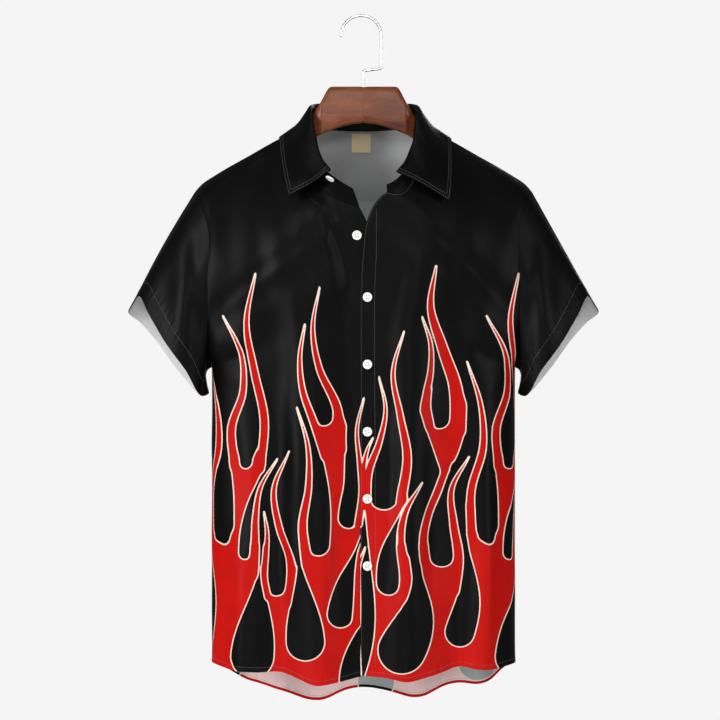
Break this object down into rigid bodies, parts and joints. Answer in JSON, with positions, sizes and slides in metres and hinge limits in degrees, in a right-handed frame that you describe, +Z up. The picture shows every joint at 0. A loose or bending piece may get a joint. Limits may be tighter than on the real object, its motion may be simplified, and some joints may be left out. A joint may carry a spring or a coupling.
{
  "type": "short-sleeved shirt on a wooden hanger",
  "caption": "Short-sleeved button-up shirt with a turned-down collar and a flame print, hanging with an open neck on a wooden hanger with a wire hook.",
  "frame": {"origin": "inner crown of the hanger's hook, where it rests on a rail", "axes": "+Z up, -Y out of the shirt's front, +X towards the shirt's own left sleeve"},
  "size_m": [0.6234, 0.1552, 0.9154],
  "materials": {
    "black_cloth": "black satin-faced polyester",
    "print_cloth": "satin-faced polyester with red flames outlined in cream on black",
    "button": "polished white",
    "label": "woven tan ribbon",
    "wood": "red-brown stain under satin varnish",
    "chrome": "polished"
  },
  "bodies": {
    "root": {"right_front": "print_cloth", "left_front": "print_cloth", "back": "print_cloth", "yoke": "black_cloth", "right_sleeve": "black_cloth", "left_sleeve": "black_cloth", "collar_stand": "black_cloth", "collar_leaf": "black_cloth", "button_1": "button", "button_2": "button", "button_3": "button", "button_4": "button", "button_5": "button", "button_top": "button", "button_band": "button", "neck_label": "label", "hanger_wood": "wood", "hanger_hook": "chrome"}
  },
  "joints": []
}
